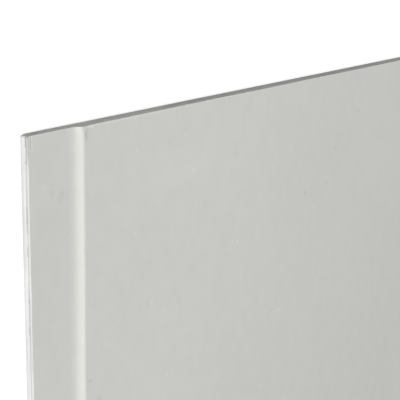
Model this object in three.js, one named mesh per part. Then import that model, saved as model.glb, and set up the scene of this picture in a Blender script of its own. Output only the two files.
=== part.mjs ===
// A sheet of drywall (gypsum board) lying flat, face up.
//
// One piece of stock: a board of constant section, cut square at both ends.
// The section has a flat back, two long edges wrapped in paper and folded, and
// a shallow recess along each long edge, where joint tape and filler go.
//
// Millimetres. +Z is up, out of the face. +Y runs along the sheet. The origin
// is the middle of the back, on the surface that the sheet lies on.

import * as THREE from 'three';

// ---- Driving dimensions -------------------------------------------------

// Whole sheet
const SHEET_LENGTH = 2400;
const SHEET_WIDTH = 1200;
const SHEET_THICKNESS = 9.5;

// Recess along each long edge: its whole width from the edge, and how far its
// floor lies below the face. The floor climbs to the face by a hollow, a
// straight flank and a rounded crest, with these widths.
const RECESS_WIDTH = 46.5;
const RECESS_DEPTH = 2.5;
const HOLLOW_WIDTH = 10.4;
const FLANK_WIDTH = 0.2;
const CREST_WIDTH = 2.2;

// Long edge: the rounds where the paper folds over to the recess and to the
// back
const FACE_FOLD_RADIUS = 0.6;
const BACK_FOLD_RADIUS = 0.8;

// Crease that the folding leaves along the edge: how far below the recess its
// bottom is, how deep it is, the height over which the edge leans in to it, and
// the height of the step back out
const CREASE_BELOW_RECESS = 2.3;
const CREASE_DEPTH = 0.35;
const CREASE_LEAN = 1.7;
const CREASE_STEP = 0.4;

// How finely the curves are faceted
const FOLD_STEPS = 4;
const HOLLOW_STEPS = 8;
const CREST_STEPS = 4;

const FACE_PAPER = { color: 0xc8c9c4, roughness: 0.9, metalness: 0 };

// ---- Curves of the section -------------------------------------------------

// Adds the points of a quarter turn to a list, its start left out.
function addQuarterTurn(points, centreX, centreY, radius, startAngle) {
  for (let step = 1; step <= FOLD_STEPS; step += 1) {
    const angle = startAngle - ((Math.PI / 2) * step) / FOLD_STEPS;
    const x = centreX + radius * Math.cos(angle);
    const y = centreY + radius * Math.sin(angle);
    points.push(new THREE.Vector2(x, y));
  }
}

// Adds the points of an ease to a list, from its last point on: a curve that
// turns from level to a slope (turn 1) or from a slope to level (turn -1).
function addEase(points, width, slope, turn, steps) {
  const start = points[points.length - 1];
  for (let step = 1; step <= steps; step += 1) {
    const run = (width * step) / steps;
    const bend = (width / (2 * Math.PI)) * Math.sin((Math.PI * run) / width);
    const rise = slope * (run / 2 - turn * bend);
    points.push(new THREE.Vector2(start.x + run, start.y + rise));
  }
}

// ---- Section -------------------------------------------------------------

// The outline of one long edge, from the back up to the face, as distance
// inwards from the edge (x) and height above the back (y).
function edgeOutline() {
  const recessHeight = SHEET_THICKNESS - RECESS_DEPTH;
  const creaseHeight = recessHeight - CREASE_BELOW_RECESS;
  const points = [new THREE.Vector2(BACK_FOLD_RADIUS, 0)];
  addQuarterTurn(points, BACK_FOLD_RADIUS, BACK_FOLD_RADIUS, BACK_FOLD_RADIUS, -Math.PI / 2);

  // Crease along the edge
  points.push(new THREE.Vector2(0, creaseHeight - CREASE_LEAN));
  points.push(new THREE.Vector2(CREASE_DEPTH, creaseHeight));
  points.push(new THREE.Vector2(0, creaseHeight + CREASE_STEP));

  // Fold to the recess
  const foldHeight = recessHeight - FACE_FOLD_RADIUS;
  points.push(new THREE.Vector2(0, foldHeight));
  addQuarterTurn(points, FACE_FOLD_RADIUS, foldHeight, FACE_FOLD_RADIUS, Math.PI);

  // Floor of the recess and the climb to the face
  const climbWidth = HOLLOW_WIDTH + FLANK_WIDTH + CREST_WIDTH;
  const slope = RECESS_DEPTH / (HOLLOW_WIDTH / 2 + FLANK_WIDTH + CREST_WIDTH / 2);
  points.push(new THREE.Vector2(RECESS_WIDTH - climbWidth, recessHeight));
  addEase(points, HOLLOW_WIDTH, slope, 1, HOLLOW_STEPS);
  const flankStart = points[points.length - 1];
  points.push(new THREE.Vector2(flankStart.x + FLANK_WIDTH, flankStart.y + slope * FLANK_WIDTH));
  addEase(points, CREST_WIDTH, slope, -1, CREST_STEPS);
  return points;
}

// The whole section, seen from the near end: x across the sheet, y up.
function sheetSection() {
  const edge = edgeOutline();
  const left = edge.map((point) => new THREE.Vector2(point.x - SHEET_WIDTH / 2, point.y));
  const right = edge.map((point) => new THREE.Vector2(SHEET_WIDTH / 2 - point.x, point.y));
  return new THREE.Shape([...right, ...left.reverse()]);
}

// ---- Sheet ----------------------------------------------------------------

function drywallSheet() {
  const geometry = new THREE.ExtrudeGeometry(sheetSection(), {
    depth: SHEET_LENGTH,
    steps: 1,
    bevelEnabled: false,
  });
  geometry.rotateX(Math.PI / 2);
  geometry.translate(0, SHEET_LENGTH / 2, 0);
  const mesh = new THREE.Mesh(geometry, new THREE.MeshStandardMaterial(FACE_PAPER));
  mesh.name = 'drywall_sheet';
  return mesh;
}

const part = new THREE.Group();
part.add(drywallSheet());

export default part;
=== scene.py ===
"""Dresses one sheet of drywall that lies face up on a pale floor.

The sheet is a gypsum core between a face paper, which wraps both long edges and
laps onto the back, and a liner paper on the back. Its long edges are tapered for
the joint filler, and its ends are cut, so the core shows there. Lengths are in
metres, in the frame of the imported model: +X across the sheet, +Y along it, +Z up,
with the back at Z = 0.
"""

import logging
import math
from collections.abc import Callable, Sequence
from dataclasses import dataclass, field
from enum import Enum
from functools import partial, reduce
from itertools import pairwise

import bpy
from mathutils import Matrix, Vector, noise


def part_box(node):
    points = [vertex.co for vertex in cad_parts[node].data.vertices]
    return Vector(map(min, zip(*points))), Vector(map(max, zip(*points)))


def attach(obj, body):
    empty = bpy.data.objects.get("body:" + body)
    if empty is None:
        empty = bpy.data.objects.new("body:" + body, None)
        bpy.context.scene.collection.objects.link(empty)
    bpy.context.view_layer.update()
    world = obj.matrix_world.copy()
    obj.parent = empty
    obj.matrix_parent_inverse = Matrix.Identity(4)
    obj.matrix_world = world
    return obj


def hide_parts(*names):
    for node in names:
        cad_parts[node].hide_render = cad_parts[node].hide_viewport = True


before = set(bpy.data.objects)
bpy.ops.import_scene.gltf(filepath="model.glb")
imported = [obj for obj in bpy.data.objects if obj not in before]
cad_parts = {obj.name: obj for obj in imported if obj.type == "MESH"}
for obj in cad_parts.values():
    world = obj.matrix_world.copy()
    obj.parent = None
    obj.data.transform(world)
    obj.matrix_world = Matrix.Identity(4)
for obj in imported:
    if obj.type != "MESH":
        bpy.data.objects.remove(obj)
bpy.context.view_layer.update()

MM = 0.001
NODE = "drywall_sheet"
BODY = "root"

Colour = tuple[float, float, float]
# Size of a pattern's cell along X, Y and Z, in millimetres.
Cell = tuple[float, float, float]
# Stretch of places: from, to, and the longest step between two of them.
Stretch = tuple[float, float, float]
# (u, z) of the points up a long edge's side, from the back to the face.
Outline = list[tuple[float, float]]
Socket = bpy.types.NodeSocket
# What a node takes: another node's result, or a number, vector or colour of its own.
Number = float | Socket
Input = Number | Sequence[float]

logger = logging.getLogger("drywall")


class Surface(Enum):
    """The sheet's finishes, in the order of its material slots."""

    FACE_PAPER = 0
    BACK_PAPER = 1
    GYPSUM_CORE = 2

    @property
    def slot(self) -> str:
        """Name of the record's slot for this finish."""
        return self.name.lower()


class End(Enum):
    """The two cut ends, by the direction in which each faces along the sheet."""

    FAR = 1
    NEAR = -1


def ramp(start: float, end: float, value: float) -> float:
    """Rises smoothly from 0 to 1 as a value goes from start to end.

    Args:
        start: Value at which the result is 0.
        end: Value at which the result is 1. It may lie below start.
        value: Value to look up.

    Returns:
        A number from 0 to 1, level at both limits.
    """
    share = min(1.0, max(0.0, (value - start) / (end - start)))
    return share * share * (3 - 2 * share)


def ripple(*place: float) -> float:
    """Smooth noise from 0 to 1, the same at a place on every run.

    Args:
        place: One to three coordinates, in ripples. Fixed ones stand in for the rest.

    Returns:
        The noise at that place.
    """
    x, y, z = (*place, 0.37, 0.61)[:3]
    return min(1.0, max(0.0, 0.5 + 0.5 * noise.noise(Vector((x, y, z)))))


def shared(start: float, end: float, count: int) -> list[float]:
    """Even places from start up to end, without end.

    Args:
        start: First place.
        end: Limit that the last place stays short of.
        count: Number of places.

    Returns:
        The places, in order.
    """
    return [start + (end - start) * i / count for i in range(count)]


def spread(start: float, end: float, step: float) -> list[float]:
    """Even places from start up to end, without end.

    Args:
        start: First place.
        end: Limit that the last place stays short of.
        step: Longest distance between two places.

    Returns:
        The places, in rising order.
    """
    slack = 1e-6
    return shared(start, end, max(1, math.ceil((end - start) / step - slack)))


def put_in_scene(name: str, data: bpy.types.ID) -> bpy.types.Object:
    """Puts a mesh, a lamp or a camera in the scene.

    Args:
        name: Name of the object.
        data: What it shows.

    Returns:
        The object.
    """
    thing = bpy.data.objects.new(name, data)
    bpy.context.scene.collection.objects.link(thing)
    return thing


@dataclass(frozen=True)
class EdgeSection:
    """Section of a tapered long edge: u runs in from the edge, z up from the back.

    Attributes:
        thickness: Full thickness of the sheet.
        recess_width: Width from the edge to where the face reaches full height.
        recess_depth: How far the edge lies below the face.
        hollow_width: Width of the curve that leads up out of the level recess.
        bend_width: Width of the hollow's upper part, in which it steepens fastest.
        lead_share: Share of the flank's slope that builds up evenly over the hollow.
        flank_width: Width of the straight slope above the hollow.
        crest_width: Width of the curve that levels out into the face.
        face_fold: Radius of the paper's fold at the face.
        back_fold: Radius of the paper's fold at the back.
        crease_drop: Depth of the crease in the side, below the recess.
        crease_depth: How far the side is pushed in at the crease.
        crease_lean: Height over which the side leans in to the crease.
        crease_step: Height over which the side comes out again above it.
        lap_width: Width of the face paper that is folded onto the back.
        lap_depth: How far the folded paper lies in from the liner.
        lap_start: Width beside the back's fold over which the paper goes in.
        lap_step: Width over which the back comes out again to the liner.
    """

    thickness: float
    recess_width: float = 46.9 * MM
    recess_depth: float = 2.5 * MM
    hollow_width: float = 11.6 * MM
    bend_width: float = 7.6 * MM
    lead_share: float = 0.38
    flank_width: float = 0.2 * MM
    crest_width: float = 2.8 * MM
    face_fold: float = 0.6 * MM
    back_fold: float = 0.8 * MM
    crease_drop: float = 2.3 * MM
    crease_depth: float = 0.35 * MM
    crease_lean: float = 1.7 * MM
    crease_step: float = 0.4 * MM
    lap_width: float = 18 * MM
    lap_depth: float = 0.08 * MM
    lap_start: float = 1.5 * MM
    lap_step: float = 0.2 * MM

    @property
    def recess_height(self) -> float:
        """Height of the level recess above the back."""
        return self.thickness - self.recess_depth

    @property
    def crease_height(self) -> float:
        """Height of the crease above the back."""
        return self.recess_height - self.crease_drop

    @property
    def foot(self) -> float:
        """Distance in from the edge at which the face starts to rise."""
        return self.recess_width - self.hollow_width - self.flank_width - self.crest_width

    @property
    def slope(self) -> float:
        """Rise of the straight flank for each unit across.

        Returns:
            The slope at which the whole section climbs by the recess's depth.
        """
        lead = self.lead_share * self.hollow_width
        bend = (1 - self.lead_share) * self.bend_width
        return self.recess_depth / ((lead + bend + self.crest_width) / 2 + self.flank_width)

    def _hollow(self, run: float) -> float:
        """Rise over the first part of the hollow, which steepens from level to the flank.

        Args:
            run: Width of that part.

        Returns:
            The rise.
        """
        lead = run * run / (2 * self.hollow_width)
        turn = math.pi * max(0.0, run - self.hollow_width + self.bend_width) / self.bend_width
        bend = self.bend_width / (2 * math.pi) * (turn - math.sin(turn))
        return self.slope * (self.lead_share * lead + (1 - self.lead_share) * bend)

    def _crest(self, run: float) -> float:
        """Rise over the first part of the crest, which levels out from the flank."""
        turn = math.pi * run / self.crest_width
        return self.slope * self.crest_width / (2 * math.pi) * (turn + math.sin(turn))

    def height(self, u: float) -> float:
        """Height of the face above the back.

        Args:
            u: Distance in from the edge.

        Returns:
            The height there, in the recess, on the slope or on the face.
        """
        hollow = min(max(u - self.foot, 0.0), self.hollow_width)
        flank = min(max(u - self.foot - self.hollow_width, 0.0), self.flank_width)
        crest = min(max(u - self.recess_width + self.crest_width, 0.0), self.crest_width)
        climb = self._hollow(hollow) + self.slope * flank + self._crest(crest)
        return self.recess_height + climb

    def side(self, shift: float, depth: float) -> Outline:
        """Points up the wrapped edge, from the back to the face.

        Args:
            shift: How far the crease lies above its usual height.
            depth: How far the crease is pushed in here.

        Returns:
            The points, whose number is always the same.
        """
        crease = self.crease_height + shift
        foot = crease - self.crease_lean
        step = crease + self.crease_step
        fold = self.recess_height - self.face_fold
        turns = shared(0.0, math.pi / 2, 4)
        points = [
            (self.back_fold * (1 - math.sin(a)), self.back_fold * (1 - math.cos(a)))
            for a in turns
        ]
        points += [(0.0, z) for z in shared(self.back_fold, foot, 5)]
        points += zip(shared(0.0, depth, 4), shared(foot, crease, 4))
        points += [(depth, crease), (depth / 2, (crease + step) / 2)]
        points += [(0.0, z) for z in shared(step, fold, 3)]
        points += [
            (self.face_fold * (1 - math.cos(a)), fold + self.face_fold * math.sin(a))
            for a in (*turns, math.pi / 2)
        ]
        return points

    def back(self, u: float) -> float:
        """Height of the back's surface: level under the liner, in from it on the lap.

        Args:
            u: Distance in from the edge.

        Returns:
            The height there.
        """
        if u >= self.lap_width + self.lap_step:
            return 0.0
        return self.lap_depth * ramp(self.back_fold, self.back_fold + self.lap_start, u)


@dataclass(frozen=True)
class WrappedEdge:
    """The lengthwise unevenness of a folded paper edge.

    Attributes:
        seed: Place in the noise, so that the two edges differ.
        dash_seed: Place in the noise of the crease's deeper stretches.
        sway: How far the side may lie in from its line.
        sway_wave: Length of that sway's waves.
        ridge: Depth of the fine ridges along the side.
        ridge_height: Height of such a ridge.
        crease_sway: How far the crease wanders up and down.
        crease_wave: Length over which it wanders.
        dash_wave: Length of the crease's deeper stretches.
        open_depth: Depth of the crease where it has opened at the far end.
        open_length: Length from the far end over which it has opened.
    """

    seed: float
    dash_seed: float
    sway: float = 0.2 * MM
    sway_wave: float = 130 * MM
    ridge: float = 0.05 * MM
    ridge_height: float = 0.9 * MM
    crease_sway: float = 0.2 * MM
    crease_wave: float = 55 * MM
    dash_wave: float = 11 * MM
    open_depth: float = 0.0
    open_length: float = 20 * MM

    def points(self, section: EdgeSection, y: float, v: float) -> Outline:
        """Points up the side at one place along the sheet.

        Args:
            section: The section that the edge follows.
            y: Place along the sheet.
            v: Distance from the far end.

        Returns:
            The points, of which the first and the last lie where the section has them.
        """
        coarse = ripple(y / self.crease_wave, self.seed)
        fine = ripple(y / (17 * MM), self.seed + 5)
        shift = self.crease_sway * (coarse + 0.4 * fine - 0.7)
        dash = ramp(0.3, 0.62, ripple(y / self.dash_wave, self.dash_seed))
        opened = ramp(self.open_length, self.open_length * 0.6, v)
        depth = max(section.crease_depth * (0.6 + 0.7 * dash), self.open_depth * opened)
        even = section.side(shift, depth)
        sway = self.sway * ripple(y / self.sway_wave, self.seed + 3)
        last = len(even) - 1
        points = []
        for i, (u, z) in enumerate(even):
            belly = math.sin(math.pi * (i / last)) ** 0.5
            ridge = self.ridge * ripple(z / self.ridge_height, y / (30 * MM), self.seed + 7)
            points.append((u + belly * (sway + ridge), z))
        return points


@dataclass(frozen=True)
class CrushedCorner:
    """A knocked corner, where the wrapped edge is pressed in and its paper has cracked.

    Attributes:
        width: Width of the pressed strip, in from the long edge.
        length: Length of the strip, from the far end.
        drop: How far the strip lies below the recess.
        dent: Depth of the uneven dents in it.
        groove: How much deeper the crack at its inner side is.
        rim: Width of each side of the crack.
        fade: Half the length over which the strip comes up at its end.
        least: Height that is left above the crease at the deepest place.
    """

    width: float = 3.2 * MM
    length: float = 10 * MM
    drop: float = 0.03 * MM
    dent: float = 0.08 * MM
    groove: float = 0.08 * MM
    rim: float = 0.5 * MM
    fade: float = 1.2 * MM
    least: float = 0.2 * MM

    def press(self, u: float, v: float, z: float, section: EdgeSection) -> float:
        """Height of a point after the knock.

        Args:
            u: Distance in from the long edge.
            v: Distance from the far end.
            z: Height before the knock.
            section: The section that the edge follows.

        Returns:
            The height after it.
        """
        floor = section.crease_height + section.crease_step
        if z < floor or u > self.width + 2 * self.rim or v > self.length * 1.5:
            return z
        ragged = self.length * (0.85 + 0.3 * ripple(u / (1.5 * MM), 3.3))
        along = ramp(ragged + self.fade, ragged - self.fade, v)
        inner = self.width * (0.93 + 0.14 * ripple(v / (3 * MM), 8.1))
        across = ramp(inner + self.rim, inner, u)
        crack = max(0.0, 1 - abs(u - inner) / self.rim)
        dent = self.dent * ripple(u / (1.1 * MM), v / (2.3 * MM), 4.0)
        drop = along * (across * (self.drop + dent) + crack * self.groove)
        room = section.recess_height - floor
        return z - min(drop, room - self.least) * min(1.0, (z - floor) / room)


@dataclass(frozen=True)
class Slip:
    """A stretch where the cut runs in at the face, so that the end leans back.

    Attributes:
        middle: Distance of its middle from the left long edge.
        reach: Distance from there at which the cut is back in line.
        depth: How far the cut runs in at the face.
    """

    middle: float
    reach: float
    depth: float

    def inset(self, u: float, share: float) -> float:
        """How far the end lies in from its line.

        Args:
            u: Distance from the left long edge.
            share: Height as a share of the thickness there.

        Returns:
            The distance, never below 0.
        """
        return self.depth * ramp(self.reach, 0.0, abs(u - self.middle)) * share**0.7


@dataclass(frozen=True)
class CutEnd:
    """A cut end of the sheet: the saw's marks, the open pores and the worn arris.

    Attributes:
        end: Which end it is.
        seed: Place in the noise, so that the two ends differ.
        chatter: Depth of the shallow waves that the cut leaves.
        scratch: Depth of its fine scratches.
        core_depth: How far the gypsum lies in from the paper's cut edge.
        core_grain: Depth of the gypsum's grain.
        pit_depth: Depth of the deepest pores.
        arris: Radius to which the arris is worn where it is sharpest.
        worn_arris: Radius along the stretch where it is worn most.
        worn_from: Distance from the left edge at which that stretch starts.
        worn_to: Distance at which it has died out.
        corner_arris: Radius to which a knock has rounded the left corner.
        corner_reach: Distance from the left edge at which that starts.
        corner_bruise: How far the knock has pushed the left corner's back in.
        bruise_reach: Distance from the left edge at which that starts.
        slips: Stretches where the cut runs in at the face.
        blend: Length over which the sheet's skin follows the cut's shape.
        bulge_reach: Distance from a long edge over which the cut follows its outline.
        paper_rows: Rows of points that the paper takes up at the back and at the face.
    """

    end: End
    seed: float
    chatter: float = 0.08 * MM
    scratch: float = 0.05 * MM
    core_depth: float = 0.10 * MM
    core_grain: float = 0.08 * MM
    pit_depth: float = 0.5 * MM
    arris: float = 0.2 * MM
    worn_arris: float = 0.2 * MM
    worn_from: float = 45 * MM
    worn_to: float = 185 * MM
    corner_arris: float = 0.2 * MM
    corner_reach: float = 2.8 * MM
    corner_bruise: float = 0.0
    bruise_reach: float = 3.2 * MM
    slips: tuple[Slip, ...] = ()
    blend: float = 9 * MM
    bulge_reach: float = 4 * MM
    paper_rows: int = 3

    def radius(self, u: float, face: bool) -> float:
        """Radius of the worn arris.

        Args:
            u: Distance from the left long edge.
            face: Whether it is the face's arris, which the knock has left as it was.

        Returns:
            The radius there.
        """
        starts = ramp(self.worn_from - 8 * MM, self.worn_from, u)
        worn = starts * ramp(self.worn_to, self.worn_from + 40 * MM, u)
        knocked = 0.0 if face else ramp(self.corner_reach, self.corner_reach / 2, u)
        ragged = 0.5 + ripple(u / (6 * MM), self.seed + 2)
        return (
            ragged * (self.arris + worn * (self.worn_arris - self.arris))
            + knocked * (self.corner_arris - self.arris)
        )

    def drop(self, u: float, v: float, face: bool) -> float:
        """How far the skin lies in from its surface beside the arris.

        Args:
            u: Distance from the left long edge.
            v: Distance from the cut.
            face: Whether it is the face's skin.

        Returns:
            The drop there; it is 0 past the arris.
        """
        radius = self.radius(u, face)
        if v >= radius:
            return 0.0
        return radius - math.sqrt(v * (2 * radius - v))

    def skin_inset(self, u: float, share: float) -> float:
        """How far the paper's cut edge lies in from the sheet's full length.

        Args:
            u: Distance from the left long edge.
            share: Height as a share of the thickness there.

        Returns:
            The distance, never below 0.
        """
        slip = sum(slip.inset(u, share) for slip in self.slips)
        wave = self.chatter * ripple(u / (14 * MM), share * 2, self.seed)
        fine = self.scratch * ripple(u / (1.2 * MM), share * 9, self.seed + 4)
        bruised = ramp(self.bruise_reach, self.bruise_reach - 1.4 * MM, u) * (1 - share)
        return slip + self.corner_bruise * bruised + (0.2 + 0.8 * share) * (wave + fine)

    def core_inset(self, u: float, z: float, share: float) -> float:
        """How far the gypsum lies in from the sheet's full length.

        Args:
            u: Distance from the left long edge.
            z: Height above the back.
            share: Height as a share of the thickness there.

        Returns:
            The distance, with the pores.
        """
        pores = noise.voronoi(Vector((u / (2.6 * MM), z / (2.0 * MM), self.seed)))
        away, middle = pores[0][0], pores[1][0]
        # Only some of the cells have a pore, and some of those are shallow.
        pit = self.pit_depth * ramp(0.42, 0.1, away) * ramp(0.55, 0.8, ripple(*(3.1 * middle)))
        grain = self.core_grain * ripple(u / (0.8 * MM), z / (0.7 * MM), self.seed + 6)
        return self.skin_inset(u, share) + self.core_depth + grain + pit


class Wiring:
    """The nodes of a material or of the world, with one short method for each kind."""

    def __init__(self, owner: bpy.types.Material | bpy.types.World) -> None:
        """Starts from the nodes that a new material or world has.

        Args:
            owner: The material or the world.
        """
        owner.use_nodes = True
        self.nodes = owner.node_tree.nodes
        self.links = owner.node_tree.links

    def feed(self, socket: Socket, value: Input) -> None:
        """Links a socket to another one, or sets its number, vector or colour.

        Args:
            socket: The socket that takes the value.
            value: The other socket, or the value itself.
        """
        if isinstance(value, Socket):
            self.links.new(value, socket)
        else:
            socket.default_value = value

    def add(
        self, kind: str, *values: Input, sockets: dict[str, Input] | None = None, **options: str
    ) -> bpy.types.Node:
        """Adds a node.

        Args:
            kind: Its kind, as the name of its type has it after "ShaderNode".
            values: What its first sockets take, in their order.
            sockets: What other sockets take, by name.
            options: The node's own settings.

        Returns:
            The node.
        """
        node = self.nodes.new("ShaderNode" + kind)
        for name, option in options.items():
            setattr(node, name, option)
        for socket, value in zip(node.inputs, values):
            self.feed(socket, value)
        for name, value in (sockets or {}).items():
            self.feed(node.inputs[name], value)
        return node

    def maths(self, operation: str, *values: Number) -> Socket:
        """Result of one of the Math node's operations on one to three numbers."""
        return self.add("Math", *values, operation=operation).outputs[0]

    def product(self, *values: Number) -> Socket:
        """Product of two or more numbers."""
        return reduce(partial(self.maths, "MULTIPLY"), values)

    def total(self, *values: Number) -> Socket:
        """Sum of two or more numbers."""
        return reduce(partial(self.maths, "ADD"), values)

    def smooth(
        self, value: Number, start: float, end: float, low: float = 0.0, high: float = 1.0
    ) -> Socket:
        """Goes smoothly from low to high as a value goes from start to end.

        Args:
            value: The value.
            start: Value at which the result is low.
            end: Value at which the result is high. It may lie below start.
            low: Result at start.
            high: Result at end.

        Returns:
            The result, held at both limits.
        """
        if end < start:
            start, end, low, high = end, start, high, low
        values = (value, start, end, low, high)
        return self.add("MapRange", *values, interpolation_type="SMOOTHSTEP").outputs[0]

    def seen_directly(self) -> Socket:
        """Tells what the camera sees from what only lights the sheet.

        Returns:
            1 for what it sees, directly or in a reflection, and 0 otherwise.
        """
        path = self.add("LightPath").outputs
        mirrored = self.maths("MAXIMUM", path["Is Glossy Ray"], path["Is Transmission Ray"])
        return self.maths("MAXIMUM", path["Is Camera Ray"], mirrored)


class Shading(Wiring):
    """The nodes of one of the sheet's finishes, whose patterns follow the place on the sheet."""

    def __init__(self, name: str) -> None:
        """Starts a material.

        Args:
            name: Name of the material.
        """
        self.material = bpy.data.materials.new(name)
        super().__init__(self.material)
        self.shader = self.nodes["Principled BSDF"]
        self.place = self.add("TexCoord").outputs["Object"]
        self.x, self.y, self.z = self.add("SeparateXYZ", self.place).outputs

    def _cells(self, cell: Cell) -> Socket:
        """The place on the sheet, counted in cells."""
        size = [side * MM for side in cell]
        return self.add("VectorMath", self.place, size, operation="DIVIDE").outputs[0]

    def noise(self, cell: Cell, detail: float, rough: float, seed: float = 0.0) -> Socket:
        """Smooth noise from 0 to 1.

        Args:
            cell: Size of its coarsest ripples.
            detail: Number of finer layers added.
            rough: How strong the finer layers are.
            seed: Picks another pattern of the same kind.

        Returns:
            The noise.
        """
        sockets = {"Vector": self._cells(cell), "Scale": 1.0, "Detail": detail, "Roughness": rough}
        if not seed:
            return self.add("TexNoise", sockets=sockets).outputs[0]
        sockets["W"] = seed
        return self.add("TexNoise", sockets=sockets, noise_dimensions="4D").outputs[0]

    def dots(self, cell: Cell, radius: float, share: float, ragged: Number = 1.0) -> Socket:
        """Dots of uneven size scattered over some of the cells.

        Args:
            cell: Size of the cells.
            radius: Radius of a middling dot, in cells.
            share: Share of the cells that have a dot.
            ragged: Uneven factor for the dots' outlines.

        Returns:
            1 in the middle of a dot and 0 outside the dots.
        """
        cells = self.add("TexVoronoi", sockets={"Vector": self._cells(cell), "Scale": 1.0}).outputs
        chance, large = self.add("SeparateColor", cells["Color"]).outputs[:2]
        # From 0.4 to 1.6 radii, and more often small than large.
        size = self.maths("MULTIPLY_ADD", self.maths("POWER", large, 2.0), 1.2, 0.4)
        away = self.maths("DIVIDE", self.maths("MULTIPLY", cells["Distance"], ragged), size)
        dot = self.smooth(away, radius, radius * 0.4)
        return self.maths("MULTIPLY", dot, self.maths("LESS_THAN", chance, share))

    def band(self, value: Number, centre: float, reach: float) -> Socket:
        """1 where a value is at a centre, falling to 0 at a distance from it."""
        away = self.maths("ABSOLUTE", self.maths("SUBTRACT", value, centre))
        return self.smooth(away, reach, 0.0)

    def about_one(self, pattern: Number, amount: float) -> Socket:
        """A factor that goes from 1 - amount to 1 + amount as a pattern goes from 0 to 1."""
        return self.maths("MULTIPLY_ADD", pattern, 2 * amount, 1 - amount)

    def lifted(self, mask: Number, amount: float) -> Socket:
        """A factor of 1 where a mask is 0, and of 1 + amount where it is 1."""
        return self.maths("MULTIPLY_ADD", mask, amount, 1.0)

    def between(self, first: Colour, second: Colour, share: Number) -> Socket:
        """A colour that goes from the first to the second as a share goes from 0 to 1.

        Args:
            first: The first colour, linear.
            second: The second colour, linear.
            share: Share of the second colour.

        Returns:
            The colour.
        """
        node = self.add("Mix", share, data_type="VECTOR")
        for socket, colour in zip(node.inputs[4:6], (first, second)):
            self.feed(socket, colour)
        return node.outputs[1]

    def colour(self, base: Input, *shades: Number) -> None:
        """Sets the base colour.

        Args:
            base: The colour, linear, or a socket that gives it.
            shades: Factors that it is multiplied by.
        """
        sockets = {"Scale": self.product(*shades)}
        shaded = self.add("VectorMath", base, sockets=sockets, operation="SCALE")
        self.feed(self.shader.inputs["Base Color"], shaded.outputs[0])

    def finish(
        self, roughness: Number, height: Number, depth: float, gloss: float
    ) -> bpy.types.Material:
        """Sets the roughness, the relief and the strength of the reflections.

        Args:
            roughness: Roughness, from nodes.
            height: Relief, in depths.
            depth: Depth of the relief.
            gloss: Specular level, the same all over.

        Returns:
            The material, which is then complete.
        """
        bump = self.add("Bump", sockets={"Distance": depth, "Height": height})
        inputs = self.shader.inputs
        self.feed(inputs["Roughness"], roughness)
        self.feed(inputs["Specular IOR Level"], gloss)
        self.feed(inputs["Normal"], bump.outputs[0])
        return self.material


@dataclass(frozen=True)
class Mark:
    """A scuff or nick in the face paper, or a soft change of its shade.

    Attributes:
        u: Distance of its middle from the left edge.
        v: Distance of its middle from the far end.
        across: Half its width across the sheet.
        along: Half its length along the sheet.
        shade: How much lighter it is, or darker if below 0.
        dent: Depth of the nick, in depths of the paper's relief.
    """

    u: float
    v: float
    across: float
    along: float
    shade: float
    dent: float = 0.0

    @property
    def soft(self) -> bool:
        """Whether it is too wide for a scuff, so that its outline isn't ragged."""
        return min(self.across, self.along) > 10 * MM


@dataclass(frozen=True)
class CreaseShade:
    """A stretch of the left edge's crease with painted shade.

    Attributes:
        v: Distance of its middle from the far end.
        along: Half its length.
        shade: How much darker it is, below 0.
        fade: Length over which it thins out at each end.
    """

    v: float
    along: float
    shade: float
    fade: float = 0.8 * MM


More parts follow.
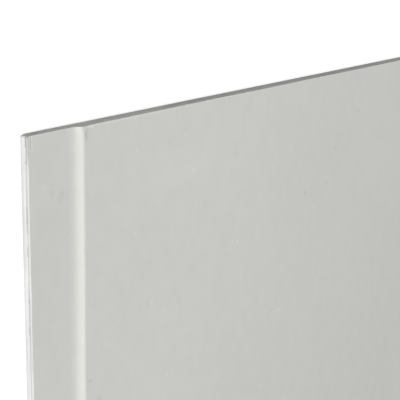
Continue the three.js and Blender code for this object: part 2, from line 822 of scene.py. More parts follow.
@dataclass(frozen=True)
class FacePaper:
    """Smooth grey face paper, which shows faint fibre and the marks of handling.

    Attributes:
        low: Lowest corner of the sheet.
        high: Highest corner of the sheet.
        section: Section of the long edges.
        marks: Scuffs, nicks and changes of shade in the face.
        crease_shades: Painted shade in stretches of the left edge's crease.
        colour: Colour of the face, linear.
        edge_colour: Colour of the wrapped long edges, linear.
        relief: Depth of the paper's grain.
        gloss: Specular level of the calendered face.
    """

    low: Vector
    high: Vector
    section: EdgeSection
    marks: tuple[Mark, ...]
    crease_shades: tuple[CreaseShade, ...]
    colour: Colour = (0.594, 0.598, 0.566)
    edge_colour: Colour = (0.552, 0.552, 0.550)
    relief: float = 0.02 * MM
    gloss: float = 0.22

    def _from_edge(self, shading: Shading) -> Socket:
        """Distance from the nearer long edge."""
        return shading.maths("SUBTRACT", self.high.x, shading.maths("ABSOLUTE", shading.x))

    def _from_far_end(self, shading: Shading) -> Socket:
        """Distance from the far end."""
        return shading.maths("SUBTRACT", self.high.y, shading.y)

    def _on_left(self, shading: Shading, mask: Number) -> Socket:
        """A mask's left half, and 0 on the right."""
        return shading.maths("MULTIPLY", mask, shading.maths("LESS_THAN", shading.x, 0.0))

    def _side(self, shading: Shading) -> Socket:
        """1 on the wrapped long edges and 0 on the face."""
        return shading.smooth(self._from_edge(shading), 1.1 * MM, 0.6 * MM)

    def _painted_crease_shade(self, shading: Shading) -> Socket:
        """Paints shade into stretches of the left edge's crease.

        Args:
            shading: The material's nodes.

        Returns:
            The shade, which is 1 outside those stretches.
        """
        crease = shading.band(shading.z, self.section.crease_height, 1.0 * MM)
        left = self._on_left(shading, crease)
        from_end = self._from_far_end(shading)
        shades = []
        for dark_stretch in self.crease_shades:
            away = shading.maths("ABSOLUTE", shading.maths("SUBTRACT", from_end, dark_stretch.v))
            along = shading.smooth(away, dark_stretch.along, dark_stretch.along - dark_stretch.fade)
            shades.append(shading.lifted(shading.maths("MULTIPLY", left, along), dark_stretch.shade))
        return shading.product(*shades)

    def _side_shade(self, shading: Shading) -> Socket:
        """Streaks the wrapped edge, with painted shade in its creases and a painted highlight.

        Args:
            shading: The material's nodes.

        Returns:
            The shade, which is 1 on the face.
        """
        crease_height = self.section.crease_height
        from_end = self._from_far_end(shading)
        # Darker within about 2 mm of the far end.
        near_far_end = shading.smooth(from_end, 2.2 * MM, 0.5 * MM)
        knocked = self._on_left(shading, shading.smooth(from_end, 26 * MM, 9 * MM))
        streaks = shading.noise((1000, 45, 0.8), 3, 0.6)
        dashes = shading.noise((1000, 13, 9), 2, 0.5, seed=855.62)
        dashes = shading.smooth(dashes, 0.42, 0.62, 0.5, 1.0)
        # Painted shade in the upper crease: in dashes, and throughout near the knocked corner.
        crease = shading.band(shading.z, crease_height + 0.3 * MM, 0.7 * MM)
        painted_crease_shade = shading.maths("MULTIPLY", crease, shading.maths("MAXIMUM", dashes, knocked))
        # Painted shade along a fold low on the side, in the same dashes.
        line = shading.band(shading.z, self.section.back_fold + 0.7 * MM, 0.5 * MM)
        worn = shading.smooth(shading.z, crease_height, crease_height + MM)
        # Painted highlight on the flank that leans in below the crease.
        lean_highlight = shading.band(shading.z, crease_height - 1.3 * MM, 1.1 * MM)
        shade = shading.product(
            shading.smooth(streaks, 0.36, 0.66, 0.90, 1.09),
            shading.lifted(painted_crease_shade, -0.50),
            self._painted_crease_shade(shading),
            shading.lifted(near_far_end, -0.20),
            shading.lifted(lean_highlight, 0.05),
            shading.lifted(worn, -0.035),
            shading.lifted(shading.maths("MULTIPLY", line, dashes), -0.14),
            shading.lifted(shading.maths("MULTIPLY", worn, knocked), -0.23),
        )
        change = shading.maths("SUBTRACT", shade, 1.0)
        return shading.maths("MULTIPLY_ADD", self._side(shading), change, 1.0)

    def _end_shade(self, shading: Shading) -> Socket:
        """Lightens the fibres that the cut has raised beside each end.

        Args:
            shading: The material's nodes.

        Returns:
            The shade, which is 1 away from the ends.
        """
        away = shading.maths("SUBTRACT", self.high.y, shading.maths("ABSOLUTE", shading.y))
        ragged = shading.noise((7, 2, 1000), 3, 0.6)
        reach = shading.smooth(ragged, 0.3, 0.7, 0.5 * MM, 1.7 * MM)
        near = shading.smooth(shading.maths("DIVIDE", away, reach), 1.0, 0.3)
        patches = shading.smooth(shading.noise((60, 1000, 1000), 1, 0.5), 0.35, 0.62, 0.3, 1.0)
        return shading.lifted(shading.maths("MULTIPLY", near, patches), 0.13)

    def _mask(self, shading: Shading, mark: Mark, ragged: Number) -> Socket:
        """Masks a mark.

        Args:
            shading: The material's nodes.
            mark: The mark.
            ragged: Uneven factor for its outline.

        Returns:
            1 in the middle of the mark and 0 outside it.
        """
        across = shading.maths("SUBTRACT", shading.x, self.low.x + mark.u)
        along = shading.maths("SUBTRACT", shading.y, self.high.y - mark.v)
        shares = [
            shading.maths("DIVIDE", across, mark.across),
            shading.maths("DIVIDE", along, mark.along),
        ]
        squares = [shading.maths("MULTIPLY", share, share) for share in shares]
        away = shading.maths("SQRT", shading.total(*squares))
        return shading.smooth(shading.maths("MULTIPLY", away, ragged), 1.2, 0.5)

    def material(self) -> bpy.types.Material:
        """Makes the material.

        Returns:
            The material.
        """
        shading = Shading("face_paper_smooth_grey")
        section = self.section
        cloud = shading.noise((9, 14, 9), 3, 0.55)
        drift = shading.noise((300, 360, 300), 1.5, 0.5, seed=513.5)
        mottle = shading.noise((12, 15, 12), 2, 0.6)
        streak = shading.noise((2.4, 160, 2.4), 2, 0.5)
        fibre = shading.noise((0.22, 1.1, 0.22), 3, 0.6)
        flecks = shading.dots((3.1, 4.4, 3.1), 0.11, 0.35)
        hairs = shading.dots((2.3, 13, 2.3), 0.09, 0.3)
        dimples = shading.dots((15, 19, 15), 0.13, 0.4)
        ragged = shading.smooth(shading.noise((1.6, 1.6, 1.6), 2, 0.6), 0.25, 0.75, 0.6, 1.4)
        edge = self._from_edge(shading)
        crest = shading.band(edge, section.recess_width + 1.2 * MM, 2.0 * MM)
        front = shading.maths("GREATER_THAN", shading.z, section.recess_height / 2)
        shades = [
            shading.about_one(cloud, 0.022),
            shading.about_one(drift, 0.079),
            shading.smooth(mottle, 0.34, 0.66, 0.990, 1.010),
            shading.about_one(streak, 0.008),
            shading.about_one(fibre, 0.05),
            shading.lifted(flecks, -0.10),
            shading.lifted(hairs, 0.05),
            shading.lifted(crest, -0.004),
            # Painted shade in the recess, a little darker still towards the edge.
            shading.lifted(shading.smooth(edge, section.recess_width, section.foot), -0.018),
            shading.lifted(shading.smooth(edge, section.foot, 0.0), -0.004),
            self._side_shade(shading),
            self._end_shade(shading),
        ]
        relief = [
            shading.maths("MULTIPLY", fibre, 0.5),
            cloud,
            shading.maths("MULTIPLY", streak, 0.4),
            shading.maths("MULTIPLY", dimples, -4.0),
        ]
        for mark in self.marks:
            mask = self._mask(shading, mark, 1.0 if mark.soft else ragged)
            mask = shading.maths("MULTIPLY", mask, front)
            shades.append(shading.lifted(mask, mark.shade))
            if mark.dent:
                relief.append(shading.maths("MULTIPLY", mask, -mark.dent))
        paper = shading.between(self.colour, self.edge_colour, self._side(shading))
        shading.colour(paper, *shades)
        rough = shading.smooth(cloud, 0.3, 0.7, 0.66, 0.80)
        return shading.finish(rough, shading.total(*relief), self.relief, self.gloss)


@dataclass(frozen=True)
class BackLiner:
    """Coarse grey-brown liner paper made from mixed recycled fibre.

    Attributes:
        colour: Colour of the paper, linear.
        relief: Depth of the paper's grain.
        gloss: Specular level.
    """

    colour: Colour = (0.400, 0.365, 0.310)
    relief: float = 0.04 * MM
    gloss: float = 0.15

    def material(self) -> bpy.types.Material:
        """Makes the material.

        Returns:
            The material.
        """
        shading = Shading("back_liner_grey_brown")
        cloud = shading.noise((6, 10, 6), 4, 0.6)
        fibre = shading.noise((0.3, 1.8, 0.3), 3, 0.65)
        shading.colour(
            self.colour,
            shading.about_one(cloud, 0.10),
            shading.about_one(shading.noise((120, 400, 120), 2, 0.5), 0.05),
            shading.about_one(fibre, 0.14),
            shading.lifted(shading.dots((2.2, 3.1, 2.2), 0.14, 0.4), -0.30),
            shading.lifted(shading.dots((1.7, 8, 1.7), 0.12, 0.35), 0.22),
        )
        rough = shading.smooth(cloud, 0.3, 0.7, 0.80, 0.92)
        height = shading.maths("MULTIPLY_ADD", cloud, 0.8, fibre)
        return shading.finish(rough, height, self.relief, self.gloss)


@dataclass(frozen=True)
class Gypsum:
    """The cut core: fine grey plaster with open pores and crystals.

    Attributes:
        left: Place of the left long edge along X.
        colour: Colour of the plaster, linear.
        pale: How much paler it is near the left edge, but not right at the corner.
        pale_width: Distance from the edge at which that starts to fade.
        pale_reach: Distance at which it has faded.
        relief: Depth of its grain.
        gloss: Specular level.
    """

    left: float
    colour: Colour = (0.572, 0.572, 0.553)
    pale: float = 0.17
    pale_width: float = 80 * MM
    pale_reach: float = 180 * MM
    relief: float = 0.12 * MM
    gloss: float = 0.10

    def material(self) -> bpy.types.Material:
        """Makes the material.

        Returns:
            The material.
        """
        shading = Shading("gypsum_core_cut")
        inward = shading.maths("SUBTRACT", shading.x, self.left)
        pale = shading.product(
            shading.smooth(inward, 8 * MM, 16 * MM),
            shading.smooth(inward, self.pale_reach, self.pale_width),
        )
        patch = shading.noise((26, 26, 7), 3, 0.6)
        grain = shading.noise((0.5, 0.5, 0.5), 4, 0.65)
        scores = shading.noise((7, 7, 0.35), 2, 0.5)
        ragged = shading.smooth(shading.noise((0.3, 0.3, 0.3), 3, 0.6), 0.3, 0.7, 0.65, 1.5)
        wide = shading.dots((1.5, 1.5, 1.5), 0.26, 0.45, ragged)
        fine = shading.dots((0.6, 0.6, 0.6), 0.28, 0.40, ragged)
        pores = shading.maths("MAXIMUM", wide, fine)
        shading.colour(
            self.colour,
            shading.smooth(patch, 0.3, 0.7, 0.91, 1.08),
            shading.lifted(pale, self.pale),
            shading.about_one(grain, 0.14),
            shading.about_one(scores, 0.06),
            # Painted shade in the pores.
            shading.lifted(pores, -0.32),
            shading.lifted(shading.dots((1.7, 1.7, 1.7), 0.22, 0.25, ragged), 0.22),
        )
        height = shading.total(
            grain,
            shading.maths("MULTIPLY", scores, 0.4),
            shading.maths("MULTIPLY", pores, -2.0),
        )
        rough = shading.smooth(grain, 0.3, 0.7, 0.86, 0.96)
        return shading.finish(rough, height, self.relief, self.gloss)


Finish = FacePaper | BackLiner | Gypsum


@dataclass
class Ring:
    """One loop of the sheet's skin, as the numbers of its vertices.

    Attributes:
        left: Up the left edge, from the back to the face.
        right: Up the right edge, from the back to the face.
        face: Across the face, from left to right.
        back: Across the back, from left to right.
    """

    left: list[int]
    right: list[int]
    face: list[int]
    back: list[int]


@dataclass
class Board:
    """The sheet: its sections along the length, its two cut ends and its wear.

    Attributes:
        low: Lowest corner of the sheet.
        high: Highest corner of the sheet.
        section: Section of both long edges.
        left: Unevenness of the left edge.
        right: Unevenness of the right edge.
        corner: The knocked corner, at the left edge and the far end.
        far: The cut end at +Y.
        near: The cut end at -Y.
        crest_pull: How far the crest has moved towards the edge at the far end.
        crest_pull_length: Length from the far end over which it has moved.
        crest_sway: How far the slopes wander towards the edge and away from it.
        crest_wave: Length over which they wander.
        crest_seeds: Place in the noise of the left and of the right slope.
        fine_reach: Distance from the left edge up to which the far end is finest.
        fine_length: Length from the far end over which the loops are close together.
        closest: Shortest distance between two columns.
        tie: Difference up to which points of two loops count as side by side.
        crease_angle: Angle in degrees from which an edge between faces looks sharp.
        vertices: Points of the skin and of the cut ends.
        faces: Numbers of the vertices of each face.
        finishes: Number of each face's finish.
    """

    low: Vector
    high: Vector
    section: EdgeSection
    left: WrappedEdge
    right: WrappedEdge
    corner: CrushedCorner
    far: CutEnd
    near: CutEnd
    crest_pull: float = 1.4 * MM
    crest_pull_length: float = 6.5 * MM
    crest_sway: float = 0.5 * MM
    crest_wave: float = 75 * MM
    crest_seeds: tuple[float, float] = (163.91, 58.3)
    fine_reach: float = 400 * MM
    fine_length: float = 350 * MM
    closest: float = 0.15 * MM
    tie: float = 0.05 * MM
    crease_angle: float = 40.0
    vertices: list[Vector] = field(default_factory=list)
    faces: list[tuple[int, ...]] = field(default_factory=list)
    finishes: list[int] = field(default_factory=list)

    @property
    def width(self) -> float:
        """Width of the sheet."""
        return self.high.x - self.low.x

    @property
    def length(self) -> float:
        """Length of the sheet."""
        return self.high.y - self.low.y

    def _edge_columns(self, step: float) -> list[float]:
        """Distances from an edge at which its section needs a column.

        Args:
            step: Longest distance between two columns on the slope.

        Returns:
            The distances, with both sides of the lap's edge and of the slope.
        """
        section = self.section
        flank = section.foot + section.hollow_width
        crest = flank + section.flank_width - self.crest_sway
        face = section.recess_width + self.crest_sway
        return [
            *(section.back_fold + u * MM for u in (0.4, 1.5, 2.0)),
            *(section.lap_width + u * MM for u in (-0.3, 0.0, 0.2, 0.5)),
            *spread(section.foot, flank, step),
            flank,
            *spread(crest, face, section.crest_width / 5),
            face,
            section.recess_width + 3 * MM,
        ]

    def _columns(self, slope: float, extra: list[Stretch]) -> list[float]:
        """Places across the sheet at which a ring has its points.

        Args:
            slope: Longest distance between two columns on a slope.
            extra: Stretches that have columns of their own.

        Returns:
            Distances from the left edge, in rising order and not too close together.
        """
        edge = self._edge_columns(slope)
        places = [*edge, *(self.width - u for u in edge)]
        places += [u for stretch in extra for u in spread(*stretch)]
        kept = []
        for place in sorted(places):
            if not kept or place - kept[-1] > self.closest:
                kept.append(place)
        return kept

    def _add(self, u: float, v: float, z: float, share: float, outward: Vector) -> int:
        """Adds a point of the skin where wear has left it.

        Args:
            u: Distance from the left edge.
            v: Distance from the far end.
            z: Height above the back.
            share: Height as a share of the thickness there.
            outward: Direction in which the skin faces.

        Returns:
            The new vertex's number.
        """
        z = self.corner.press(u, v, z, self.section)
        y = self.high.y - v
        for cut in (self.far, self.near):
            depth = v if cut.end is End.FAR else self.length - v
            if depth < cut.blend:
                fade = (1 - depth / cut.blend) ** 1.5
                y -= cut.end.value * cut.skin_inset(u, share) * fade
                inward = outward * cut.drop(u, depth, outward.z > 0.9)
                u -= inward.x
                z -= inward.z
        self.vertices.append(Vector((self.low.x + u, y, z)))
        return len(self.vertices) - 1

    def _crest_shift(self, u: float, v: float) -> float:
        """How far the face's slope lies towards the nearer long edge.

        Args:
            u: Distance from the left edge.
            v: Distance from the far end.

        Returns:
            The shift at this place; the left crest's end is also pulled to the edge.
        """
        right = u >= self.width / 2
        sway = self.crest_sway * (1 - 2 * ripple(v / self.crest_wave, self.crest_seeds[right]))
        if right:
            return sway
        crest = self.section.foot + self.section.hollow_width
        pulled = ramp(crest - 5 * MM, crest, u) * ramp(self.crest_pull_length, 0.0, v)
        return sway + self.crest_pull * pulled

    def _side(self, edge: WrappedEdge, v: float, facing: int) -> list[int]:
        """Adds the points up one wrapped edge at one place along the sheet.

        Args:
            edge: The edge.
            v: Distance from the far end.
            facing: -1 for the left edge and 1 for the right edge.

        Returns:
            Numbers of the vertices, from the back to the face.
        """
        points = edge.points(self.section, self.high.y - v, v)
        side = []
        for i, (u, z) in enumerate(points):
            place = u if facing < 0 else self.width - u
            share = z / self.section.recess_height
            side.append(self._add(place, v, z, share, self._outward(points, i, facing)))
        return side

    def _ring(self, v: float, columns: list[float]) -> Ring:
        """Adds one loop of the skin.

        Args:
            v: Distance from the far end.
            columns: Distances from the left edge for the face and the back.

        Returns:
            The loop.
        """
        left = self._side(self.left, v, -1)
        right = self._side(self.right, v, 1)
        face, back = [left[-1]], [left[0]]
        for u in columns:
            inner = min(u, self.width - u)
            top = self.section.height(inner + self._crest_shift(u, v))
            face.append(self._add(u, v, top, 1.0, Vector((0, 0, 1))))
            back.append(self._add(u, v, self.section.back(inner), 0.0, Vector((0, 0, -1))))
        return Ring(left, right, [*face, right[-1]], [*back, right[0]])

    @staticmethod
    def _outward(points: Outline, i: int, facing: int) -> Vector:
        """Direction in which the folded edge faces at one of its points.

        Args:
            points: The points up the side.
            i: Number of the point.
            facing: -1 on the left edge and 1 on the right edge.

        Returns:
            A unit vector.
        """
        before, after = points[max(0, i - 1)], points[min(len(points) - 1, i + 1)]
        du, dz = after[0] - before[0], after[1] - before[1]
        return Vector((facing * dz, 0, du)).normalized()

    def _face(self, corners: tuple[int, ...], surface: Surface, outside: bool) -> None:
        """Adds one face.

        Args:
            corners: Numbers of its vertices.
            surface: Its finish.
            outside: False turns it over.
        """
        self.faces.append(corners if outside else corners[::-1])
        self.finishes.append(surface.value)

    def _strip(
        self, a: list[int], b: list[int], finish: Callable[[float], Surface], outside: bool
    ) -> None:
        """Joins two rows of points that may have different numbers of points.

        Args:
            a: The row nearer the far end, from left to right or from back to face.
            b: The next row, in the same order.
            finish: Gives the surface for a place across the sheet.
            outside: False on the sides that face the other way.
        """
        if len(a) == len(b):
            for (a0, a1), (b0, b1) in zip(pairwise(a), pairwise(b)):
                self._face((a0, b0, b1, a1), finish(self._middle(a0, a1)), outside)
            return
        i = j = 0
        while i < len(a) - 1 or j < len(b) - 1:
            along_a = j == len(b) - 1 or (
                i < len(a) - 1 and self._u(a[i + 1]) <= self._u(b[j + 1]) + self.tie
            )
            start, end = (a[i], a[i + 1]) if along_a else (b[j], b[j + 1])
            self._face((a[i], b[j], end), finish(self._middle(start, end)), outside)
            i, j = (i + 1, j) if along_a else (i, j + 1)

    def _u(self, vertex: int) -> float:
        """Distance of a vertex from the left edge."""
        return self.vertices[vertex].x - self.low.x

    def _middle(self, first: int, second: int) -> float:
        """Distance from the left edge of the middle between two vertices."""
        return (self._u(first) + self._u(second)) / 2

    @staticmethod
    def _face_finish(_: float) -> Surface:
        """Finish of the face and the long edges, the same all over."""
        return Surface.FACE_PAPER

    def _back_finish(self, u: float) -> Surface:
        """Finish of the back at a distance from the left edge."""
        inner = min(u, self.width - u) > self.section.lap_width + self.section.lap_step / 2
        return Surface.BACK_PAPER if inner else Surface.FACE_PAPER

    def _join(self, a: Ring, b: Ring) -> None:
        """Joins two neighbouring loops.

        Args:
            a: The loop nearer the far end.
            b: The next loop.
        """
        self._strip(a.face, b.face, self._face_finish, True)
        self._strip(a.left, b.left, self._face_finish, True)
        self._strip(a.right, b.right, self._face_finish, False)
        self._strip(a.back, b.back, self._back_finish, False)

    def _cap_column(self, ring: Ring, cut: CutEnd, number: int, shares: list[float]) -> list[int]:
        """Adds one column of a cut end.

        Args:
            ring: The loop at that end.
            cut: The cut.
            number: Number of the column, as in the loop's face and back.
            shares: Height of each row, as a share of the thickness.

        Returns:
            Numbers of the vertices, from the back to the face.
        """
        bottom, top = self.vertices[ring.back[number]], self.vertices[ring.face[number]]
        end = self.high.y if cut.end is End.FAR else self.low.y
        core = range(cut.paper_rows, len(shares) - cut.paper_rows)
        column = [ring.back[number]]
        for row in range(1, len(shares) - 1):
            share = shares[row]
            place = bottom.lerp(top, share)
            for side in (ring.left, ring.right):
                foot, head = self.vertices[side[0]], self.vertices[side[-1]]
                pull = max(0.0, 1 - abs(place.x - head.x) / cut.bulge_reach)
                bulge = self.vertices[side[row]] - foot.lerp(head, share)
                place += pull * Vector((bulge.x, 0, bulge.z))
            u = place.x - self.low.x
            inset = cut.core_inset(u, place.z, share) if row in core else cut.skin_inset(u, share)
            place.y = end - cut.end.value * inset
            self.vertices.append(place)
            column.append(len(self.vertices) - 1)
        return [*column, ring.face[number]]

    def _cap(self, ring: Ring, cut: CutEnd) -> None:
        """Closes the sheet at a cut end.

        Args:
            ring: The loop at that end.
            cut: The cut.
        """
        shares = [z / self.section.recess_height for _, z in self.section.side(0.0, 0.0)]
        inner = [self._cap_column(ring, cut, c, shares) for c in range(1, len(ring.face) - 1)]
        grid = [ring.left, *inner, ring.right]
        for number, (a, b) in enumerate(pairwise(grid)):
            for row in range(len(shares) - 1):
                surface = Surface.GYPSUM_CORE
                if number in (0, len(inner)) or row >= len(shares) - cut.paper_rows:
                    surface = Surface.FACE_PAPER
                elif row < cut.paper_rows - 1:
                    surface = self._back_finish(self._u(a[0]))
                corners = (a[row], a[row + 1], b[row + 1], b[row])
                self._face(corners, surface, cut.end is End.FAR)

    def _rings(self) -> list[Ring]:
        """Adds every loop, fine near the ends and wider apart between them.

        Returns:
            The loops, from the far end to the near end.
        """
        length, inside = self.length, self.width - 2 * MM
        crest = self.section.recess_width
        between_crests = (crest, self.width - crest)
        at_cut = [v * MM for v in (0.0, 0.12, 0.3, 0.55, 0.9, 1.4, 2.1)]
        beside_cut, plain = 3 * MM, 18 * MM
        far_middle, near_middle = self.fine_length, length - plain
        corner, inner = (1.4 * MM, 4.2 * MM, 0.2 * MM), 4.2 * MM
        far_end = [corner, (inner, self.fine_reach, 1 * MM), (self.fine_reach, inside, 2.5 * MM)]
        beside_far_end = [corner, (inner, crest, 2.5 * MM), (*between_crests, 12 * MM)]
        middle = [(*between_crests, 100 * MM)]
        near_end = [(2.4 * MM, inside, 2.5 * MM)]
        plan = [
            (at_cut, 1.0 * MM, far_end),
            (spread(beside_cut, plain, 1 * MM), 1.0 * MM, beside_far_end),
            (spread(plain, far_middle, 5 * MM), 1.5 * MM, middle),
            (spread(far_middle, near_middle, 20 * MM), 1.5 * MM, middle),
            (spread(near_middle, length - beside_cut, 3 * MM), 1.5 * MM, middle),
            ([length - v for v in reversed(at_cut)], 1.5 * MM, near_end),
        ]
        rings = []
        for rows, slope, extra in plan:
            columns = self._columns(slope, extra)
            rings += [self._ring(v, columns) for v in rows]
        return rings

    def build(self, name: str) -> bpy.types.Object:
        """Makes the sheet as one closed mesh.

        Args:
            name: Name of the piece.

        Returns:
            The object, with the finish of each face set and no materials yet.
        """
        rings = self._rings()
        self._cap(rings[0], self.far)
        for a, b in pairwise(rings):
            self._join(a, b)
        self._cap(rings[-1], self.near)
        mesh = bpy.data.meshes.new(name)
        mesh.from_pydata([tuple(v) for v in self.vertices], [], self.faces)
        mesh.polygons.foreach_set("material_index", self.finishes)
        mesh.polygons.foreach_set("use_smooth", [True] * len(mesh.polygons))
        mesh.set_sharp_from_angle(angle=math.radians(self.crease_angle))
        mesh.update()
        piece = put_in_scene(name, mesh)
        logger.info("%s: %d vertices, %d faces", name, len(mesh.vertices), len(mesh.polygons))
        return piece

    @staticmethod
    def dress(piece: bpy.types.Object, finishes: dict[Surface, Finish]) -> None:
        """Gives the sheet its finishes.

        Args:
            piece: The sheet.
            finishes: The finish of each surface.
        """
        for surface in Surface:
            piece.data.materials.append(finishes[surface].material())
            logger.info("finish: %s", surface.slot)


@dataclass(frozen=True)
class SoftLamp:
    """A large soft lamp.

    Attributes:
        name: Name of the lamp.
        place: Where it hangs.
        target: The point that it faces.
        size: Side of its square panel.
        level: Light that it gives a level surface at the target, where 1 renders
            a colour as it is written.
    """

    name: str
    place: Vector
    target: Vector
    size: float
    level: float

    def build(self) -> bpy.types.Object:
        """Makes the lamp.

        Returns:
            The lamp.
        """
        reach = self.place - self.target
        panel = bpy.data.lights.new(self.name, "AREA")
        panel.size = self.size
        panel.energy = self.level * math.pi**2 * reach.length**3 / reach.z
        lamp = put_in_scene(self.name, panel)
        lamp.location = self.place
        lamp.rotation_euler = reach.to_track_quat("Z", "Y").to_euler()
        lamp.visible_camera = False
        logger.info("%s: %.0f W at %.1f m", self.name, panel.energy, reach.length)
        return lamp


@dataclass(frozen=True)
class Studio:
    """The pale floor, the open surroundings and the lamp.

    Attributes:
        corner: The sheet's corner that the lamp is placed from.
        floor_gap: How far the floor lies below the sheet.
        floor_size: Side of the floor.
        floor_colour: How much light the floor gives back.
        floor_glow: Extra brightness with which the floor is seen beside the sheet.
        glow_near: Distance from the sheet's middle up to which it is that much.
        glow_far: Distance from there at which the floor has become plain white.
        surround: Light from all round.
        key_level: Light from the lamp.
        key_size: Side of the lamp's panel.
        key_offset: Place of the lamp from the corner.
    """

    corner: Vector
    floor_gap: float = 0.5 * MM
    floor_size: float = 60.0
    floor_colour: float = 0.60
    floor_glow: float = 0.60
    glow_near: float = 1.6
    glow_far: float = 5.0
    surround: float = 0.30
    key_level: float = 0.70
    key_size: float = 2.5
    key_offset: Vector = field(default_factory=lambda: Vector((-6.32, -0.4, 4.2)))

    def _floor_material(self) -> bpy.types.Material:
        """Makes the floor's material, which glows only for the camera.

        Returns:
            The material.
        """
        material = bpy.data.materials.new("floor_pale")
        wiring = Wiring(material)
        wiring.nodes.clear()
        place = wiring.add("TexCoord").outputs["Object"]
        away = wiring.add("VectorMath", place, operation="LENGTH").outputs["Value"]
        glow = wiring.smooth(away, self.glow_near, self.glow_far, self.floor_glow, 1.0)
        seen = wiring.maths("MULTIPLY", glow, wiring.seen_directly())
        cover = wiring.add("BsdfDiffuse", (*[self.floor_colour] * 3, 1))
        shine = wiring.add("Emission", sockets={"Strength": seen})
        both = wiring.add("AddShader", cover.outputs[0], shine.outputs[0])
        wiring.add("OutputMaterial", both.outputs[0])
        return material

    def floor(self) -> bpy.types.Object:
        """Makes the floor, which keeps the sheet's shadow.

        Returns:
            The floor.
        """
        half = self.floor_size / 2
        outline = ((-half, -half), (half, -half), (half, half), (-half, half))
        mesh = bpy.data.meshes.new("floor")
        mesh.from_pydata([(x, y, -self.floor_gap) for x, y in outline], [], [(0, 1, 2, 3)])
        mesh.materials.append(self._floor_material())
        plane = put_in_scene("floor", mesh)
        logger.info("floor: %.0f m square, %.1f mm below", self.floor_size, self.floor_gap / MM)
        return plane

    def surroundings(self) -> None:
        """Lights the sheet evenly from all round, before a white background."""
        world = bpy.data.worlds.new("surroundings")
        wiring = Wiring(world)
        background = wiring.nodes["Background"]
        background.inputs["Color"].default_value = (1, 1, 1, 1)
        strength = wiring.smooth(wiring.seen_directly(), 0.0, 1.0, self.surround, 1.0)
        wiring.feed(background.inputs["Strength"], strength)
        bpy.context.scene.world = world
        logger.info("surroundings: level %.2f", self.surround)

    def build(self) -> None:
        """Makes the floor, the surroundings and the lamp."""
        self.floor()
        self.surroundings()
        place = self.corner + self.key_offset
        SoftLamp("key_lamp", place, self.corner, self.key_size, self.key_level).build()
        bpy.context.scene.view_settings.view_transform = "Standard"


@dataclass(frozen=True)
class Camera:
    """The camera, which looks down on the sheet's far left corner.

    Attributes:
        corner: The sheet's corner that it is placed from.
        eye: Place of the camera from the corner.
        aim: Point on the face at the middle of the picture, from the corner.
        roll: Turn about the line of sight, in degrees.
        lens: Focal length, in millimetres.
        sensor: Width of the sensor, in millimetres.
        nearest: Distance from the camera at which it starts to see.
        farthest: Distance at which it stops seeing.
    """

    corner: Vector
    eye: Vector = field(default_factory=lambda: Vector((-388.58, 132.00, 434.11)) * MM)
    aim: Vector = field(default_factory=lambda: Vector((167.68, -75.43, 0.0)) * MM)
    roll: float = 1.543
    lens: float = 87.94
    sensor: float = 36.0
    nearest: float = 0.01
    farthest: float = 200.0

    def build(self) -> bpy.types.Object:
        """Makes the camera and sets it as the scene's own.

        Returns:
            The camera.
        """
        data = bpy.data.cameras.new("camera")
        data.lens = self.lens
        data.sensor_width = self.sensor
        data.clip_start = self.nearest
        data.clip_end = self.farthest
        back = (self.eye - self.aim).normalized()
        right = Vector((0, 1, 0)).cross(back).normalized()
        level = Matrix((right, back.cross(right), back)).transposed()
        turned = level @ Matrix.Rotation(math.radians(self.roll), 3, "Z")
        camera = put_in_scene("camera", data)
        camera.matrix_world = Matrix.Translation(self.corner + self.eye) @ turned.to_4x4()
        bpy.context.scene.camera = camera
        logger.info("camera: %.0f mm lens, %.2f m from the corner", self.lens, self.eye.length)
        return camera


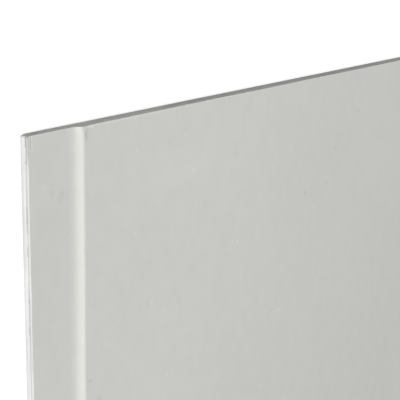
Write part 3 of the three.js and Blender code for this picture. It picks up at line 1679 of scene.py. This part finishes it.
def face_marks() -> tuple[Mark, ...]:
    """The scuffs, nicks and changes of shade near the sheet's far left corner.

    Returns:
        The marks, whose places and sizes are written here in millimetres.
    """
    return tuple(
        Mark(u * MM, v * MM, across * MM, along * MM, shade, dent)
        for u, v, across, along, shade, dent in (
            (50.3, 180.6, 2.6, 1.0, -0.13, 2.0),
            (59.3, 198.0, 2.4, 2.6, -0.08, 3.0),
            (47.9, 7.0, 1.3, 5.0, -0.11, 1.0),
            (50.0, 4.5, 3.6, 3.4, -0.04, 0.0),
            (47.4, 6.2, 1.0, 2.0, -0.03, 1.0),
            (46.2, 82.8, 1.2, 2.2, -0.04, 1.0),
            # Painted shade in the crack along the inner side of the knocked corner's pressed
            # strip.
            (2.75, 4.5, 0.45, 6.5, -0.14, 0.0),
            (12.5, 34.5, 4.0, 1.8, 0.03, 0.0),
            (19.5, 40.5, 2.8, 3.6, -0.04, 0.0),
            (27.3, 43.0, 3.0, 4.0, -0.05, 0.0),
            (111.8, 141.3, 3.0, 2.6, 0.02, 7.0),
            (131.9, 206.6, 2.2, 1.9, 0.06, 2.0),
            (95.8, 24.8, 2.2, 1.7, 0.04, 2.0),
            (94.4, 84.1, 2.2, 1.7, 0.04, 2.0),
            (391.0, 103.4, 2.4, 2.0, 0.035, 2.0),
            (147.0, 150.5, 2.8, 2.4, -0.02, 4.0),
            (130.8, 25.7, 2.2, 1.8, -0.045, 2.0),
            (148.6, 22.7, 2.0, 1.7, 0.03, 2.0),
            (158.9, 50.1, 3.4, 1.7, 0.04, 2.0),
            (199.1, 42.6, 2.2, 1.8, -0.035, 2.0),
            (265.2, 68.3, 2.2, 1.8, 0.04, 2.0),
            (211.3, 119.4, 1.3, 1.6, 0.07, 2.0),
            (218.2, 121.1, 1.3, 1.6, 0.09, 2.0),
            (264.0, 195.9, 2.8, 1.2, 0.06, 4.0),
            (272.8, 197.2, 4.0, 1.4, -0.03, 4.0),
            (284.0, 200.7, 3.6, 1.4, 0.08, 4.0),
            (317.6, 100.7, 2.6, 2.8, -0.10, 4.0),
            (332.5, 116.8, 2.6, 2.0, 0.045, 3.0),
            (352.5, 98.6, 2.6, 2.2, -0.06, 3.0),
            (364.4, 68.2, 2.6, 2.2, -0.06, 3.0),
            (401.9, 39.5, 2.6, 2.2, -0.05, 3.0),
            (149.4, 45.3, 40.0, 16.0, 0.012, 0.0),
            (500.0, 40.0, 110.0, 120.0, 0.030, 0.0),
            (135.0, 235.0, 72.0, 120.0, 0.014, 0.0),
            (51.5, 1.3, 4.0, 0.9, 0.13, 0.0),
            (66.0, 0.9, 18.0, 1.1, 0.03, 0.0),
            (88.0, 0.9, 22.0, 1.2, 0.06, 0.0),
            (130.0, 0.9, 30.0, 1.2, 0.04, 0.0),
        )
    )


def painted_crease_shades() -> tuple[CreaseShade, ...]:
    """The painted shade in stretches of the left edge's crease.

    Returns:
        The stretches, whose places and lengths are written here in millimetres.
    """
    return tuple(
        CreaseShade(v * MM, along * MM, shade)
        for v, along, shade in (
            (0.0, 7.8, -0.48),
            (17.0, 1.1, -0.48),
            (50.5, 6.0, -0.42),
            (59.5, 3.6, -0.20),
            (74.6, 3.7, -0.40),
            (107.7, 1.7, -0.22),
            (128.5, 3.2, -0.28),
        )
    )


def main() -> None:
    """Builds the sheet, its finishes, the studio and the camera."""
    logging.basicConfig(level=logging.INFO, format="%(name)s: %(message)s")
    low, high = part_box(NODE)
    corner = Vector((low.x, high.y, high.z))
    section = EdgeSection(thickness=high.z - low.z)
    board = Board(
        low=low,
        high=high,
        section=section,
        left=WrappedEdge(seed=2.3, dash_seed=112.98, open_depth=0.6 * MM),
        right=WrappedEdge(seed=41.7, dash_seed=50.7),
        corner=CrushedCorner(),
        far=CutEnd(
            End.FAR,
            seed=6.1,
            worn_arris=0.45 * MM,
            corner_arris=1.0 * MM,
            corner_bruise=0.25 * MM,
            slips=(
                Slip(0.5 * MM, 4.5 * MM, 0.32 * MM),
                Slip(48 * MM, 10 * MM, 0.42 * MM),
                Slip(90 * MM, 50 * MM, 0.14 * MM),
                Slip(130 * MM, 150 * MM, 0.15 * MM),
                Slip(245 * MM, 75 * MM, 0.28 * MM),
                Slip(400 * MM, 200 * MM, 0.38 * MM),
            ),
        ),
        near=CutEnd(End.NEAR, seed=27.9),
    )
    finishes = {
        Surface.FACE_PAPER: FacePaper(low, high, section, face_marks(), painted_crease_shades()),
        Surface.BACK_PAPER: BackLiner(),
        Surface.GYPSUM_CORE: Gypsum(low.x),
    }
    piece = board.build("tapered_edge_board")
    board.dress(piece, finishes)
    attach(piece, BODY)
    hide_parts(NODE)
    Studio(corner).build()
    Camera(corner).build()


if __name__ == "__main__":
    main()
